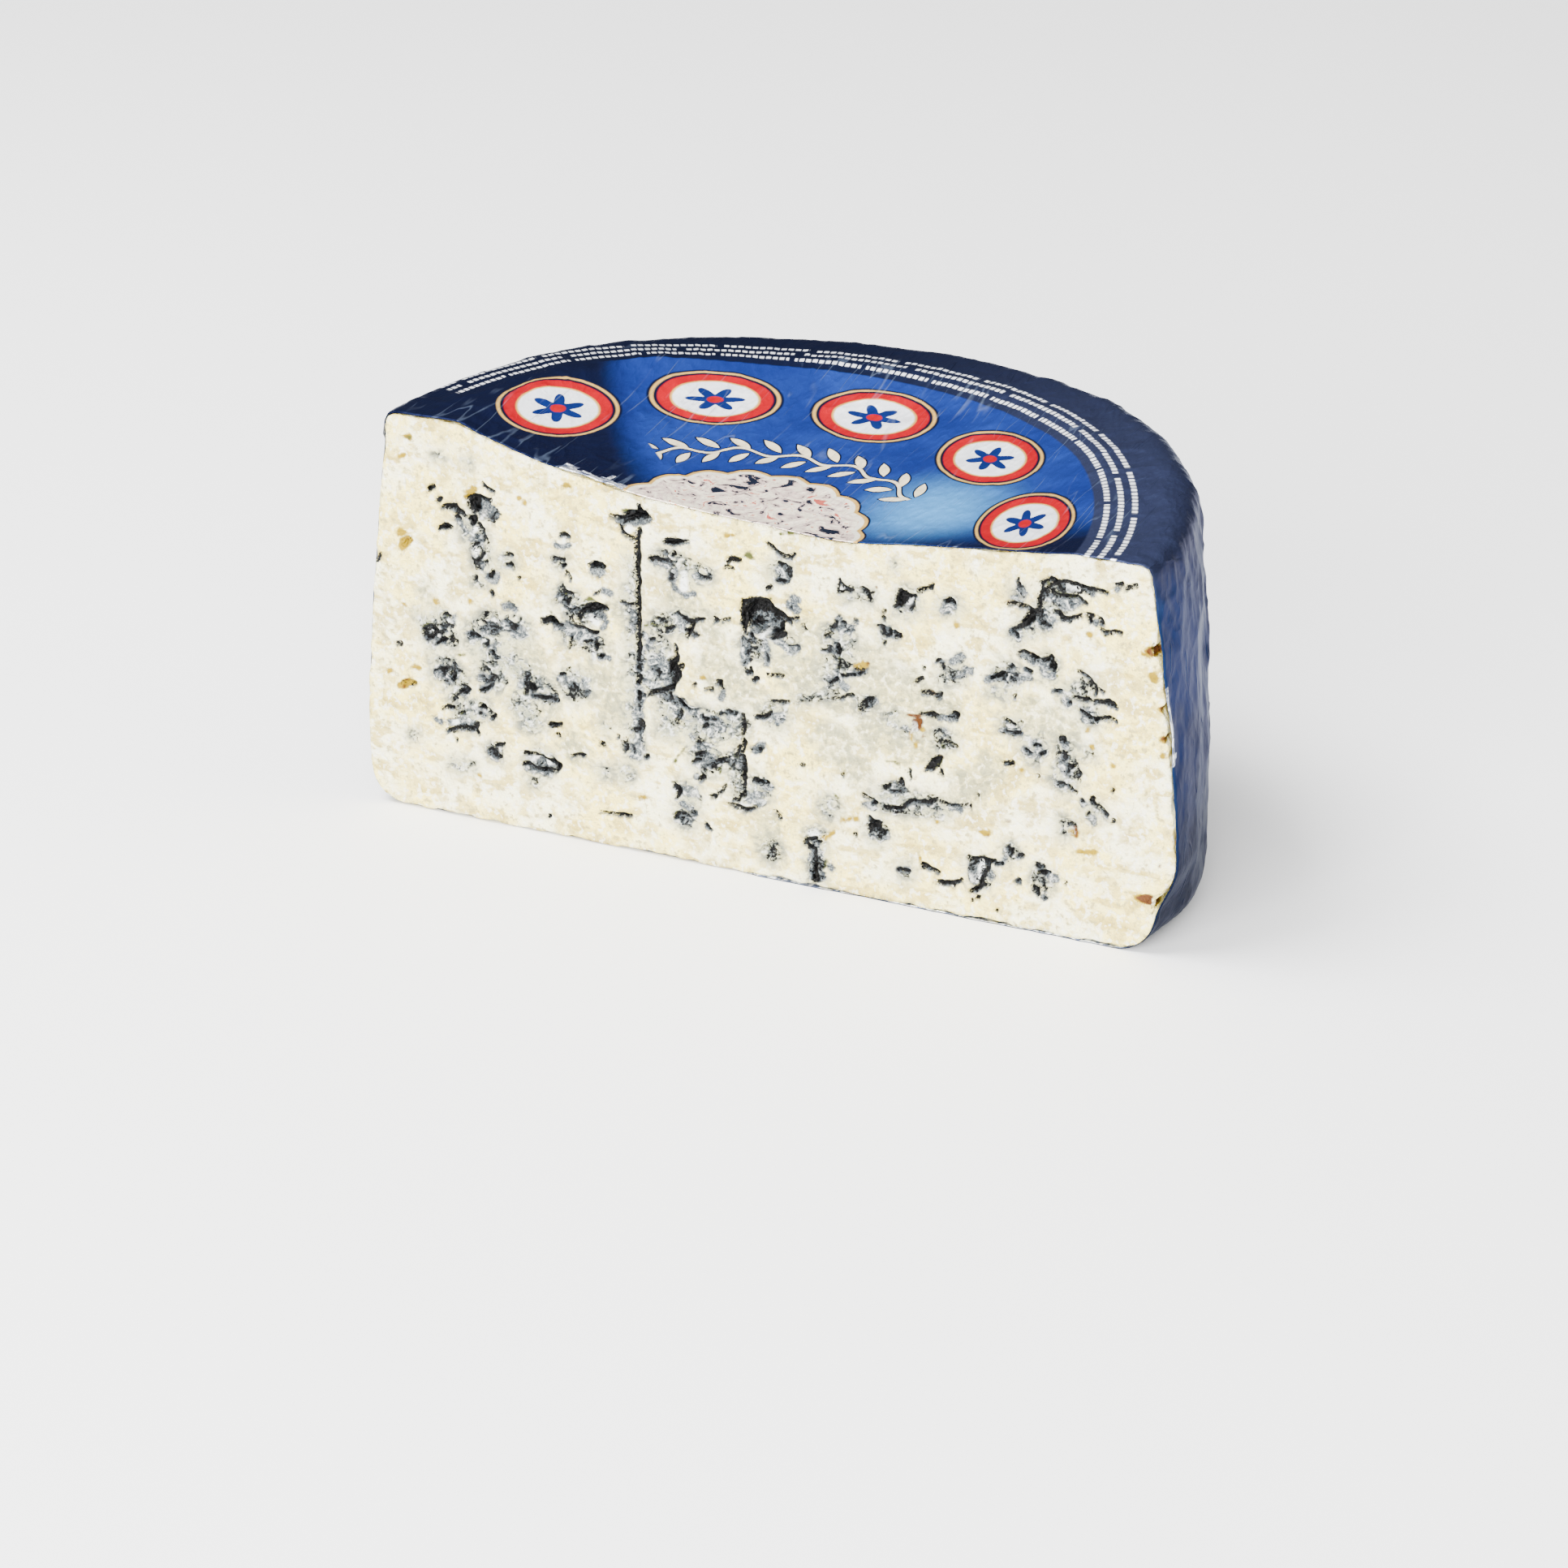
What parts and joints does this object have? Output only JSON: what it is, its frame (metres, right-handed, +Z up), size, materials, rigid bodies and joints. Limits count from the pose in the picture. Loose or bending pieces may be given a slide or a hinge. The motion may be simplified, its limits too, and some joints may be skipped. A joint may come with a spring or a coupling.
{
  "type": "half blue cheese wheel",
  "caption": "Half a wheel of blue-veined cheese in printed foil, cut face bare, dished top, standing on its flat base.",
  "frame": {"origin": "middle of the footprint, at the height of the base", "axes": "+X along the cut, to the right as seen from the cut face; +Y from the cut face into the cheese; +Z up"},
  "size_m": [0.2, 0.0984, 0.0958],
  "materials": {
    "paste": "satin, moist, with grey-blue veins",
    "printed_foil": "semi-gloss, crinkled"
  },
  "bodies": {
    "root": {"cheese": "paste", "foil_wrapper": "printed_foil"}
  },
  "joints": []
}
